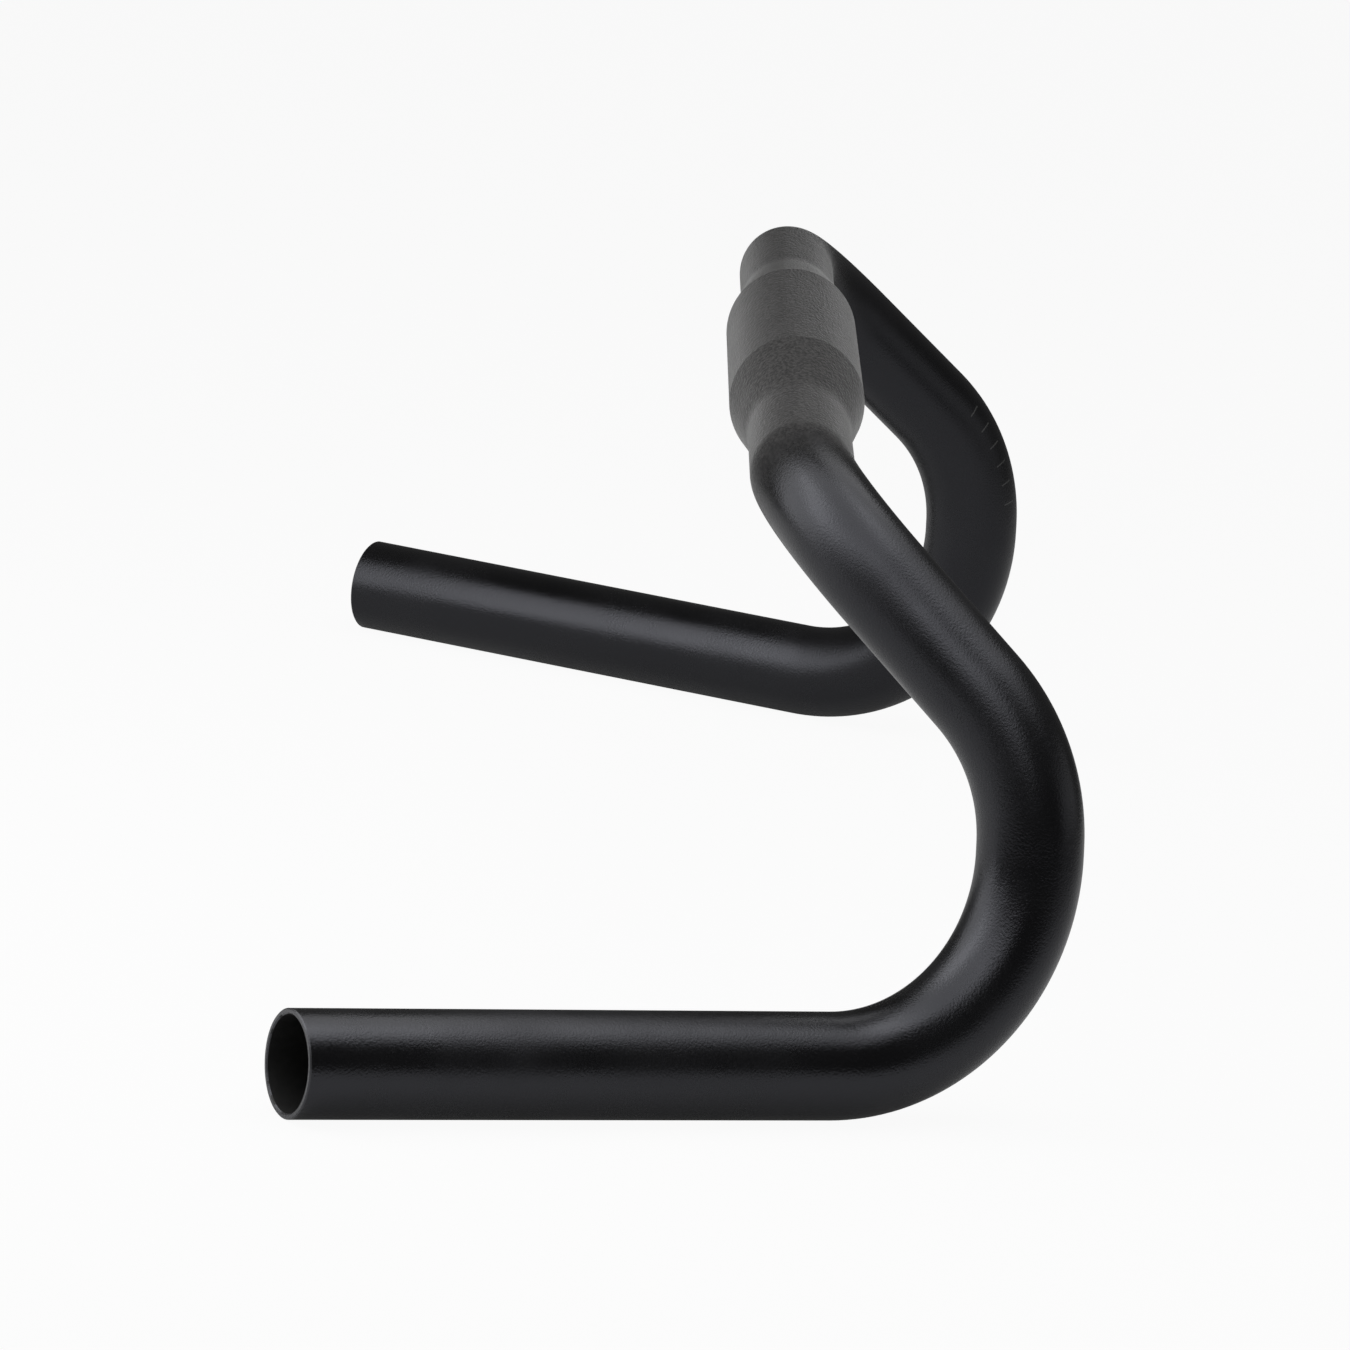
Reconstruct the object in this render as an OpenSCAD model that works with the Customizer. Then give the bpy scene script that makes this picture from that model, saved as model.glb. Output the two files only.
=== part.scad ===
// Flared drop handlebar: one aluminium tube, bulged at the middle for the stem and bent three times on
// each side. +X is the rider's right, +Y is forward and +Z is up, with the origin at the middle of the
// stem clamp. The drops are level, so the bar can stand on them.

/* [Stem clamp] */
// Outer diameter where the stem clamps
clamp_d = 31.8; // [30:0.1:34]
// Length of the straight clamp cylinder
clamp_length = 113; // [60:1:130]
// Wall under the stem clamp
clamp_wall = 2.4; // [1.6:0.1:3.2]
// Length of the cone of each taper, from the clamp down to the tube
taper_length = 46; // [20:1:55]
// Radius of the edge between the clamp cylinder and a taper
shoulder_radius = 12; // [5:1:60]
// Radius of the soft blend from a taper into the tube
blend_radius = 150; // [50:5:250]

/* [Tube] */
// Outer diameter of the tube, which the levers and the tape go on
tube_d = 23.8; // [22.2:0.1:26]
// Wall of the tube
wall = 1.3; // [1:0.1:2.5]
// How much bending draws the wall down on each face
bend_draw = 0.02; // [0.01:0.01:0.1]
// Chamfer on the edges of the cut ends
end_chamfer = 0.3; // [0.1:0.05:0.4]

/* [Corner bends] */
// Straight tube from the middle of the bar to each corner bend
top_half = 160; // [130:1:200]
// Centre-line radius of the corner bend
corner_radius = 39.5; // [30:0.5:60]
// Angle of the corner bend
corner_angle = 71; // [50:0.5:90]
// Straight ramp between the corner bend and the hook
ramp_length = 31; // [10:0.5:60]

/* [Hook bends] */
// Turn of the tube about its own axis before the upper hook bend
hook_turn = -81; // [-100:1:-60]
// Centre-line radius of the upper hook bend
upper_radius = 46; // [35:0.5:70]
// Angle of the upper hook bend
upper_angle = 45.5; // [30:0.5:60]
// Straight tube between the two hook bends
hook_gap = 2; // [1:0.5:20]
// Turn before the lower hook bend, which throws the drops outwards
flare_turn = -46; // [-60:1:0]
// Centre-line radius of the lower hook bend
lower_radius = 47; // [35:0.5:70]
// Angle of the lower hook bend
lower_angle = 90.5; // [60:0.5:100]
// Straight drop behind the hook
drop_length = 130; // [80:1:170]

/* [Hidden] */
$fn = 64;
// How far each straight laps over the end of a bend, so that no two faces only just touch
lap = 0.1;

// One row for each bend: straight tube before it, turn about the tube's own axis, radius and angle
bends = [
    [0, 0, corner_radius, corner_angle],
    [ramp_length, hook_turn, upper_radius, upper_angle],
    [hook_gap, flare_turn, lower_radius, lower_angle]
];

// The tube's direction and the side it bends towards, after one row of the table
function bent(frame, bend) =
    let (along = frame[0])
    let (side = frame[1] * cos(bend[1]) + cross(along, frame[1]) * sin(bend[1]))
    [along * cos(bend[3]) + side * sin(bend[3]), side * cos(bend[3]) - along * sin(bend[3])];

// The direction of the drop, from a corner bend that lies flat
function drop_heading(frame, i = 0) =
    i == len(bends) ? frame[0] : drop_heading(bent(frame, bends[i]), i + 1);

// Turn of the whole bar about the clamp's axis that makes the drops level
heading = drop_heading([[1, 0, 0], [0, 1, 0]]);
level = atan2(heading[2], heading[1]) + 180;

taper_slope = atan((clamp_d - tube_d) / 2 / taper_length);
taper_start = clamp_length / 2 + shoulder_radius * tan(taper_slope / 2);
taper_end = taper_start + taper_length;
arc_steps = 8;

// Outline of the bulge's right half, as radius and distance from the middle
function shoulder() = [
    for (i = [0 : arc_steps])
        let (a = taper_slope * i / arc_steps)
        [clamp_d / 2 - shoulder_radius * (1 - cos(a)),
         clamp_length / 2 + shoulder_radius * sin(a)]
];
function blend() = [
    for (i = [arc_steps : -1 : 0])
        let (a = taper_slope * i / arc_steps)
        [tube_d / 2 + blend_radius * (1 - cos(a)),
         taper_end + blend_radius * (tan(taper_slope / 2) - sin(a))]
];
function bulge() = concat(shoulder(), blend(), [[tube_d / 2, top_half + lap]]);
function butting() = [
    [clamp_d / 2 - clamp_wall, taper_start],
    [tube_d / 2 - wall, taper_end],
    [tube_d / 2 - wall, top_half + lap]
];

// A line of radius and distance, with the same line mirrored to the other side of the middle
function both_sides(line) =
    concat([for (i = [len(line) - 1 : -1 : 0]) [line[i][0], -line[i][1]]], line);
function reversed(line) = [for (i = [len(line) - 1 : -1 : 0]) line[i]];

// The middle of the bar: clamp, tapers and straight tops, with a thicker wall under the clamp
module middle() {
    rotate([0, 90, 0])
        rotate_extrude()
            polygon(concat(both_sides(bulge()), reversed(both_sides(butting()))));
}

// Section of the tube, with each face of the wall drawn in by some amount
module ring(draw) {
    difference() {
        circle(d = tube_d - 2 * draw);
        circle(d = tube_d - 2 * wall + 2 * draw);
    }
}

// Straight tube along +X from the origin
module straight(length) {
    translate([-lap, 0, 0])
        rotate([0, 90, 0])
            linear_extrude(length + 2 * lap)
                ring(0);
}

// Bend that starts at the origin along +X and turns towards +Y
module bend(radius, angle) {
    translate([0, radius, 0])
        rotate([0, 0, -90])
            rotate_extrude(angle = angle)
                translate([radius, 0])
                    ring(bend_draw);
}

// Straight drop with a square cut end, chamfered inside and out
module drop() {
    outer = tube_d / 2;
    inner = outer - wall;
    rotate([0, 90, 0])
        rotate_extrude()
            polygon([
                [inner, -lap],
                [outer, -lap],
                [outer, drop_length - end_chamfer],
                [outer - end_chamfer, drop_length],
                [inner + end_chamfer, drop_length],
                [inner, drop_length - end_chamfer]
            ]);
}

// The rest of one side: each row's straight tube and bend, then the drop
module side(i = 0) {
    if (i < len(bends)) {
        run = bends[i][0];
        radius = bends[i][2];
        angle = bends[i][3];
        if (run > 0) straight(run);
        translate([run, 0, 0])
            rotate([bends[i][1], 0, 0]) {
                bend(radius, angle);
                translate([0, radius, 0])
                    rotate([0, 0, angle])
                        translate([0, -radius, 0])
                            side(i + 1);
            }
    } else {
        drop();
    }
}

module handlebar() {
    color("dimgray")
        rotate([-level, 0, 0]) {
            middle();
            for (mirrored = [0, 1])
                mirror([mirrored, 0, 0])
                    translate([top_half, 0, 0])
                        side();
        }
}

handlebar();
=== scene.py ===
import math

import bmesh
import bpy
from mathutils import Matrix, Vector


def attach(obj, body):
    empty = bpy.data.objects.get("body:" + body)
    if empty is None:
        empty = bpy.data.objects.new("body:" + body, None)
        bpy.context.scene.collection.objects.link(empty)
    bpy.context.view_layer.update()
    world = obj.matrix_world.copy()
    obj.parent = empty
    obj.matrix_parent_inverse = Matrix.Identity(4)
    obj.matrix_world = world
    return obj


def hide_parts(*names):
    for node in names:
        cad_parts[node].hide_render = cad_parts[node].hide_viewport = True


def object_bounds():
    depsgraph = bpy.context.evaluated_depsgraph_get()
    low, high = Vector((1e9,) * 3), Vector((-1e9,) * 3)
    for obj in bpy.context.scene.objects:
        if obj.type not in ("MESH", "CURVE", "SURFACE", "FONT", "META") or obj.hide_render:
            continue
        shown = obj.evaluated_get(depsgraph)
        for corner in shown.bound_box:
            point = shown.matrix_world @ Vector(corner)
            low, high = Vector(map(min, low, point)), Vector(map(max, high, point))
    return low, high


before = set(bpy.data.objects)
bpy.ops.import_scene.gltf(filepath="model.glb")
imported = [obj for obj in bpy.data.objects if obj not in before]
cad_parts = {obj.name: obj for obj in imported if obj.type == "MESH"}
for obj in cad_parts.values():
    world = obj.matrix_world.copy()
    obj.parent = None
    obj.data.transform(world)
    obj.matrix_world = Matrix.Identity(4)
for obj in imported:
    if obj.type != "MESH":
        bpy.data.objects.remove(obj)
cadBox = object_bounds()
print("frame: handlebar from", *([round(c, 4) for c in corner] for corner in cadBox))


# Shader maths written as Python: Wire is one socket, Finish one material or world
class Wire:
    def __init__(self, finish, socket):
        self.finish, self.socket = finish, socket

    def maths(self, operation, *others):
        values = dict(enumerate((self, *others)))
        return self.finish.node("ShaderNodeMath", {"operation": operation}, values)

    def __add__(self, other):
        return self.maths("ADD", other)

    def __sub__(self, other):
        return self.maths("SUBTRACT", other)

    def __rsub__(self, other):
        return (self * -1) + other

    def __mul__(self, other):
        return self.maths("MULTIPLY", other)

    def __truediv__(self, other):
        return self.maths("DIVIDE", other)

    __radd__ = __add__
    __rmul__ = __mul__


class Finish:
    def __init__(self, owner):
        self.owner = owner
        owner.use_nodes = True
        self.tree = owner.node_tree
        self.tree.nodes.clear()

    def node(self, kind, settings=None, values=None, out=0):
        made = self.tree.nodes.new(kind)
        for name, setting in (settings or {}).items():
            setattr(made, name, setting)
        for name, value in (values or {}).items():
            socket = made.inputs[name]
            if isinstance(value, Wire):
                self.tree.links.new(value.socket, socket)
            elif isinstance(value, (int, float)):
                socket.default_value = value
            else:  # a colour's socket also wants its alpha
                alpha = (1.0,) if len(socket.default_value) > len(value) else ()
                socket.default_value = (*value, *alpha)
        return Wire(self, made.outputs[out]) if made.outputs else made

    def noise(self, places, scale, detail=2.0, roughness=0.5):
        values = {"Vector": places, "Scale": scale, "Detail": detail, "Roughness": roughness}
        return self.node("ShaderNodeTexNoise", values=values)

    def fade(self, value, start, end):  # 0 at start, 1 at end, soft between
        values = {"Value": value, "From Min": start, "From Max": end}
        return self.node("ShaderNodeMapRange", {"interpolation_type": "SMOOTHSTEP"}, values)

    def band(self, value, start, end, soft):  # 1 between start and end
        begun = self.fade(value, start - soft, start + soft)
        return begun * (1 - self.fade(value, end - soft, end + soft))

    def blend(self, share, first, second):  # colours
        values = {"Factor": share, 6: first, 7: second}
        return self.node("ShaderNodeMix", {"data_type": "RGBA"}, values, 2)

    def bump(self, height):  # height in metres
        values = {"Strength": 1.0, "Distance": 1.0, "Height": height}
        return self.node("ShaderNodeBump", values=values)

    def principled(self, values):
        return self.node("ShaderNodeBsdfPrincipled", values=values)

    def surface(self, shader, kind="ShaderNodeOutputMaterial"):
        self.node(kind, values={"Surface": shader})


# Camera: nearly level with the bar and looking along its clamp, from the rider's right
cameraSettings = {
    "place": (2.347776, -0.069304, 0.346082),
    "forward": (-0.9839, 0.0207, -0.1777),
    "up": (-0.1789, -0.1109, 0.9776),
    "lens": 263.3,
    "sensor": 36.0,
    "clip": (0.05, 60.0),
}


def makeCamera(settings):
    data = bpy.data.cameras.new("camera")
    data.lens, data.sensor_width = settings["lens"], settings["sensor"]
    data.clip_start, data.clip_end = settings["clip"]
    camera = bpy.data.objects.new("camera", data)
    bpy.context.scene.collection.objects.link(camera)
    back = -Vector(settings["forward"]).normalized()
    right = Vector(settings["up"]).cross(back).normalized()
    turned = Matrix((right, back.cross(right), back)).transposed()
    camera.matrix_world = Matrix.Translation(settings["place"]) @ turned.to_4x4()
    bpy.context.scene.camera = camera


makeCamera(cameraSettings)
print("camera: placed")


# The tube, walked from the middle of the bar to the cut end of one drop, in metres and degrees
barSettings = {
    "clampRadius": 0.0159,
    "clampHalf": 0.0565,
    "clampWall": 0.0024,
    "taperLength": 0.046,
    "shoulderRadius": 0.012,
    "blendRadius": 0.150,
    "tubeRadius": 0.0119,
    "wall": 0.0013,
    "endChamfer": 0.0003,
    "topHalf": 0.160,
    "bends": (  # straight tube before it, turn about the tube, centre-line radius, angle
        (0.0, 0.0, 0.0395, 71.0),
        (0.031, -81.0, 0.046, 45.5),
        (0.002, -46.0, 0.047, 90.5),
    ),
    "dropLength": 0.130,
    "segments": 96,
    "bendStep": 2.0,
    "arcSteps": 6,
    "clampRing": 0.001,  # from the last ring of the clamp to its shoulder
    "sharpAngle": 25.0,  # edges that turn by more stay sharp
    "mergeDistance": 1e-6,
}


class TubeRun:  # an open ring of edges that is drawn out into a tube
    def __init__(self, bm, radius, segments, inside):
        self.bm, self.radius, self.inside = bm, radius, inside
        self.at = Vector((0, 0, 0))
        self.heading, self.side = Vector((1, 0, 0)), Vector((0, 1, 0))
        facingX = Matrix.Rotation(math.radians(90), 4, "Y")
        made = bmesh.ops.create_circle(bm, cap_ends=False, segments=segments, radius=radius,
                                       matrix=facingX)
        self.verts = made["verts"]
        self.edges = list({edge for vert in self.verts for edge in vert.link_edges})
        layers = bm.verts.layers.float
        around = layers["around"]
        self.alongLayer, self.insideLayer = layers["along"], layers["inside"]
        self.along = 0.0
        for vert in self.verts:
            vert[around] = math.atan2(vert.co.z, vert.co.y) / math.tau % 1.0
            vert[self.insideLayer] = self.inside

    def take(self, geometry, distance):
        self.verts = [g for g in geometry if isinstance(g, bmesh.types.BMVert)]
        self.edges = [g for g in geometry if isinstance(g, bmesh.types.BMEdge) and g.is_boundary]
        self.along += distance
        for vert in self.verts:
            vert[self.alongLayer] = self.along
            vert[self.insideLayer] = self.inside

    def straight(self, length, radius=None):
        self.take(bmesh.ops.extrude_edge_only(self.bm, edges=self.edges)["geom"], length)
        bmesh.ops.translate(self.bm, verts=self.verts, vec=self.heading * length)
        self.at = self.at + self.heading * length
        if radius:
            grown = Vector((radius / self.radius,) * 3)
            bmesh.ops.scale(self.bm, verts=self.verts, vec=grown,
                            space=Matrix.Translation(-self.at))
            self.radius = radius

    def bend(self, turn, radius, angle, step):
        turn, angle = math.radians(turn), math.radians(angle)
        self.side = self.side * math.cos(turn) + self.heading.cross(self.side) * math.sin(turn)
        centre, axis = self.at + self.side * radius, self.heading.cross(self.side)
        steps = max(1, round(math.degrees(angle) / step))
        for _ in range(steps):
            swept = bmesh.ops.spin(self.bm, geom=self.verts + self.edges, cent=centre, axis=axis,
                                   angle=angle / steps, steps=1, use_merge=False)
            self.take(swept["geom_last"], radius * angle / steps)
        self.at = centre + Matrix.Rotation(angle, 3, axis) @ (self.at - centre)
        self.heading, self.side = (self.heading * math.cos(angle) + self.side * math.sin(angle),
                                   self.side * math.cos(angle) - self.heading * math.sin(angle))


def bulgeOutline(s):  # (distance from the middle, radius) of the clamp, taper and straight top
    slope = math.atan((s["clampRadius"] - s["tubeRadius"]) / s["taperLength"])
    coneEnd = s["clampHalf"] + s["shoulderRadius"] * math.tan(slope / 2) + s["taperLength"]
    steps = [slope * i / s["arcSteps"] for i in range(s["arcSteps"] + 1)]
    outline = [(s["clampHalf"] - s["clampRing"], s["clampRadius"])]
    outline += [(s["clampHalf"] + s["shoulderRadius"] * math.sin(a),
                 s["clampRadius"] - s["shoulderRadius"] * (1 - math.cos(a))) for a in steps]
    outline += [(coneEnd + s["blendRadius"] * (math.tan(slope / 2) - math.sin(a)),
                 s["tubeRadius"] + s["blendRadius"] * (1 - math.cos(a))) for a in reversed(steps)]
    return outline + [(s["topHalf"], s["tubeRadius"])], coneEnd


def drawSide(run, outline, ending, s):
    for distance, radius in outline:
        run.straight(distance - run.along, radius)
    for before, turn, radius, angle in s["bends"]:
        if before:
            run.straight(before)
        run.bend(turn, radius, angle, s["bendStep"])
    for length, radius in ending:
        run.straight(length, radius)


def makeBar(s):
    bm = bmesh.new()
    for name in ("around", "along", "inside"):
        bm.verts.layers.float.new(name)
    outline, coneEnd = bulgeOutline(s)
    outer, inner = s["tubeRadius"], s["tubeRadius"] - s["wall"]
    chamfer, square = s["endChamfer"], s["dropLength"] - s["endChamfer"]
    skin = TubeRun(bm, s["clampRadius"], s["segments"], 0.0)
    rim = ((square, outer), (chamfer, outer - chamfer), (0.0, inner + chamfer))
    drawSide(skin, outline, rim, s)
    bore = TubeRun(bm, s["clampRadius"] - s["clampWall"], s["segments"], 1.0)
    butting = ((coneEnd - s["taperLength"], bore.radius), (coneEnd, inner), (s["topHalf"], inner))
    drawSide(bore, butting, ((square, inner), (chamfer, inner + chamfer)), s)
    bmesh.ops.mirror(bm, geom=bm.verts[:] + bm.edges[:] + bm.faces[:], matrix=Matrix.Identity(4),
                     axis="X", merge_dist=-1)
    # Joins the two halves, and the skin to the bore at the cut ends
    bmesh.ops.remove_doubles(bm, verts=bm.verts[:], dist=s["mergeDistance"])
    level = math.atan2(skin.heading.z, skin.heading.y) + math.pi  # turns the drops level
    bmesh.ops.rotate(bm, verts=bm.verts[:], cent=(0, 0, 0),
                     matrix=Matrix.Rotation(-level, 3, "X"))
    bmesh.ops.recalc_face_normals(bm, faces=bm.faces[:])
    inside = bm.verts.layers.float["inside"]
    for face in bm.faces:
        face.smooth = True
        face.material_index = int(all(vert[inside] > 0.5 for vert in face.verts))  # 1 is bore
    for edge in bm.edges:
        edge.smooth = edge.calc_face_angle(0.0) < math.radians(s["sharpAngle"])
    mapTube(bm)
    mesh = bpy.data.meshes.new("barTube")
    bm.to_mesh(mesh)
    bm.free()
    bar = bpy.data.objects.new("barTube", mesh)
    bpy.context.scene.collection.objects.link(bar)
    return bar


def tubeLength(s):  # from the middle of the bar to a cut end
    bends = sum(before + radius * math.radians(angle) for before, _, radius, angle in s["bends"])
    return s["topHalf"] + bends + s["dropLength"]


def mapTube(bm):  # u runs once around the tube, v is the distance from the middle in metres
    layers = bm.verts.layers.float
    around, along = layers["around"], layers["along"]
    tubeMap = bm.loops.layers.uv.new("tubeMap")
    for face in bm.faces:
        last = max(vert[around] for vert in face.verts)
        for loop in face.loops:
            u = loop.vert[around]
            loop[tubeMap].uv = (u + 1.0 if last - u > 0.5 else u, loop.vert[along])


# Satin black skin, blasted to a grainy grey over the clamp and the straight tops. Bumps, widths and
# places along the tube are in metres, and grains are noise scales.
barFinish = {
    "satinColours": ((0.0024, 0.0023, 0.0023), (0.0042, 0.0040, 0.0040)),
    "satinRoughness": 0.28,
    "satinTint": (0.885, 0.90, 1.0),
    "satinIor": 1.57,
    "satinGrain": 1900.0,
    "satinGrainGloss": 0.15,  # how much the grain and the smudges change the roughness
    "smudgeGloss": 0.65,
    "satinBump": 0.00008,
    "blastedColours": ((0.026, 0.0255, 0.0252), (0.056, 0.0545, 0.054)),
    "blastedRoughness": 0.75,
    "blastedIor": 1.2,
    "blastedFuzz": (0.60, 0.20),  # weight and roughness of the pale bloom on the blasted skin
    "blastedGrain": 1500.0,
    "blastedStretch": (0.33, 1.0, 1.0),  # draws the grain out along the tube
    "blastedBump": 0.0002,
    "blastEdge": (0.152, 0.188),
    "frayGrain": 240.0,
    "frayWidth": 0.006,
    "smudges": 24.0,
    "smudgeDepth": 0.0003,
    "rimColour": (0.040, 0.040, 0.042),
    "rimFade": (0.0004, 0.0002),  # from the cut end
    "tickColour": (0.075, 0.075, 0.073),
    "tickFirst": 0.2453,
    "tickPitch": 0.0049,
    "tickCount": 6,
    "tickWidth": 0.0003,
    "tickSpan": (0.100, 0.155),  # in turns around the tube
    "tickSoft": (0.01, 0.003),  # soft ends of the scale and of its lines
}


def ticks(finish, around, along, s):  # a short scale across the inner side of each hook
    step = (along - s["tickFirst"]) / s["tickPitch"] + 0.5
    fromLine = (step.maths("FRACT") - 0.5).maths("ABSOLUTE") * s["tickPitch"]
    line = 1 - finish.fade(fromLine, s["tickWidth"] * 0.3, s["tickWidth"] * 0.7)
    scale = finish.band(step, 0.0, s["tickCount"], s["tickSoft"][0])
    return line * scale * finish.band(around, *s["tickSpan"], s["tickSoft"][1])


def makeBarFinish(s, length):
    finish = Finish(bpy.data.materials.new("barFinish"))
    places = finish.node("ShaderNodeTexCoord", out="Object")
    tubeMap = finish.node("ShaderNodeUVMap", {"uv_map": "tubeMap"})
    around = finish.node("ShaderNodeSeparateXYZ", values={0: tubeMap}, out=0)
    along = finish.node("ShaderNodeSeparateXYZ", values={0: tubeMap}, out=1)
    peel = finish.noise(places, s["satinGrain"], 2.0, 0.6)
    stretch = {"Vector": places, "Scale": s["blastedStretch"]}
    drawn = finish.node("ShaderNodeMapping", values=stretch)
    grain = finish.noise(drawn, s["blastedGrain"], 2.0, 0.5)
    smudge = finish.noise(places, s["smudges"], 3.0, 0.5)
    fray = finish.noise(places, s["frayGrain"], 3.0, 0.6) - 0.5
    blasted = 1 - finish.fade(along + fray * s["frayWidth"], *s["blastEdge"])

    clouds = finish.fade(smudge * 0.5 + peel * 0.5, 0.35, 0.65)
    satin = finish.blend(clouds, *s["satinColours"])
    satin = finish.blend(ticks(finish, around, along, s), satin, s["tickColour"])
    rim = finish.fade(along, *(length - inset for inset in s["rimFade"]))
    satin = finish.blend(rim, satin, s["rimColour"])
    gloss = (peel - 0.5) * s["satinGrainGloss"] + (smudge - 0.5) * s["smudgeGloss"]
    gloss = gloss + s["satinRoughness"]
    rough = finish.blend(finish.fade(grain, 0.35, 0.65), *s["blastedColours"])

    height = peel * (1 - blasted) * s["satinBump"] + grain * blasted * s["blastedBump"]
    normal = finish.bump(height + smudge * s["smudgeDepth"])
    satinSkin = finish.principled({
        "Base Color": satin, "Roughness": gloss, "Normal": normal,
        "IOR": s["satinIor"], "Specular Tint": s["satinTint"],
    })
    blastedSkin = finish.principled({
        "Base Color": rough, "Roughness": s["blastedRoughness"], "Normal": normal,
        "IOR": s["blastedIor"],
        "Sheen Weight": s["blastedFuzz"][0], "Sheen Roughness": s["blastedFuzz"][1],
    })
    skins = {0: blasted, 1: satinSkin, 2: blastedSkin}
    finish.surface(finish.node("ShaderNodeMixShader", values=skins))
    return finish.owner


# Bare dark bore
boreFinish = {
    "colours": ((0.003, 0.003, 0.003), (0.007, 0.007, 0.0065)),
    "roughness": 0.6,
    "grain": 700.0,
    "grainGloss": 0.1,
    "bump": 0.00002,
}


def makeBoreFinish(s):
    finish = Finish(bpy.data.materials.new("boreFinish"))
    places = finish.node("ShaderNodeTexCoord", out="Object")
    grain = finish.noise(places, s["grain"], 3.0, 0.6)
    colour = finish.blend(finish.fade(grain, 0.35, 0.65), *s["colours"])
    normal = finish.bump(grain * s["bump"])
    roughness = (grain - 0.5) * s["grainGloss"] + s["roughness"]
    values = {"Base Color": colour, "Roughness": roughness, "Normal": normal}
    finish.surface(finish.principled(values))
    return finish.owner


bar = makeBar(barSettings)
bar.data.materials.append(makeBarFinish(barFinish, tubeLength(barSettings)))
bar.data.materials.append(makeBoreFinish(boreFinish))
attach(bar, "root")
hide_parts("handlebar")
print("bar:", len(bar.data.polygons), "faces")


# Studio: a pale floor under the drops, a plain room and soft boxes
studioSettings = {
    "floorSize": 12.0,
    "floorGap": 0.0002,
    "floorColour": (0.60, 0.60, 0.60),
    "floorShares": (0.94, 0.08),  # share of plain white that the camera sees, and that is mirrored
    "roomColour": (0.04, 0.04, 0.04),
    "roomShares": (0.94, 0.03),
    "white": (1.0, 1.0, 1.0),
    "lampsFace": (0.0, 0.0, -0.03),
}

lampSettings = {  # middle of each soft box, its width, its height and its brightness
    "sideBox": ((0.105, -0.54, 0.26), 0.53, 0.74, 1.55),
    "cornerBox": ((0.52, -0.58, 0.32), 0.50, 0.40, 1.35),
    "overBox": ((0.24, -0.13, 0.46), 0.76, 0.72, 1.30),
    "frontBox": ((0.85, -0.12, 0.44), 0.70, 0.36, 1.00),
    "fillBox": ((0.10, 0.95, 0.16), 0.80, 0.34, 0.30),
    "rearBox": ((-0.10, 0.34, 0.86), 1.40, 0.68, 1.05),
}


def whiteShare(finish, seen, mirrored):  # to the camera, and to what mirrors it or shows it through
    camera = finish.node("ShaderNodeLightPath", out="Is Camera Ray")
    glossy = finish.node("ShaderNodeLightPath", out="Is Glossy Ray")
    through = finish.node("ShaderNodeLightPath", out="Is Transmission Ray")
    return (camera * seen).maths("MAXIMUM", glossy.maths("MAXIMUM", through) * mirrored)


def makeFloor(s):
    bm = bmesh.new()
    height = cadBox[0].z - s["floorGap"]
    bmesh.ops.create_grid(bm, x_segments=1, y_segments=1, size=s["floorSize"] / 2,
                          matrix=Matrix.Translation((0, 0, height)))
    mesh = bpy.data.meshes.new("floor")
    bm.to_mesh(mesh)
    bm.free()
    floor = bpy.data.objects.new("floor", mesh)
    bpy.context.scene.collection.objects.link(floor)
    finish = Finish(bpy.data.materials.new("paleFloor"))
    painted = finish.node("ShaderNodeBsdfDiffuse", values={"Color": s["floorColour"]})
    white = finish.node("ShaderNodeEmission", values={"Color": s["white"], "Strength": 1.0})
    share = whiteShare(finish, *s["floorShares"])
    skins = {0: share, 1: painted, 2: white}
    finish.surface(finish.node("ShaderNodeMixShader", values=skins))
    mesh.materials.append(finish.owner)


def makeWorld(s):
    world = bpy.data.worlds.new("studio")
    bpy.context.scene.world = world
    finish = Finish(world)
    colours = {"Color": s["roomColour"], "Strength": 1.0}
    room = finish.node("ShaderNodeBackground", values=colours)
    white = finish.node("ShaderNodeBackground", values={"Color": s["white"], "Strength": 1.0})
    walls = {0: whiteShare(finish, *s["roomShares"]), 1: room, 2: white}
    finish.surface(finish.node("ShaderNodeMixShader", values=walls), "ShaderNodeOutputWorld")


def makeLamps(lamps, target):
    for name, (place, width, height, brightness) in lamps.items():
        data = bpy.data.lights.new(name, "AREA")
        data.shape, data.size, data.size_y = "RECTANGLE", width, height
        data.energy = brightness * math.pi * width * height
        lamp = bpy.data.objects.new(name, data)
        bpy.context.scene.collection.objects.link(lamp)
        lamp.visible_camera = False
        facing = (Vector(place) - Vector(target)).to_track_quat("Z", "Y")
        lamp.matrix_world = Matrix.Translation(place) @ facing.to_matrix().to_4x4()


makeFloor(studioSettings)
makeWorld(studioSettings)
makeLamps(lampSettings, studioSettings["lampsFace"])
bpy.context.scene.view_settings.view_transform = "Standard"
print("studio: floor, room and", len(lampSettings), "soft boxes")
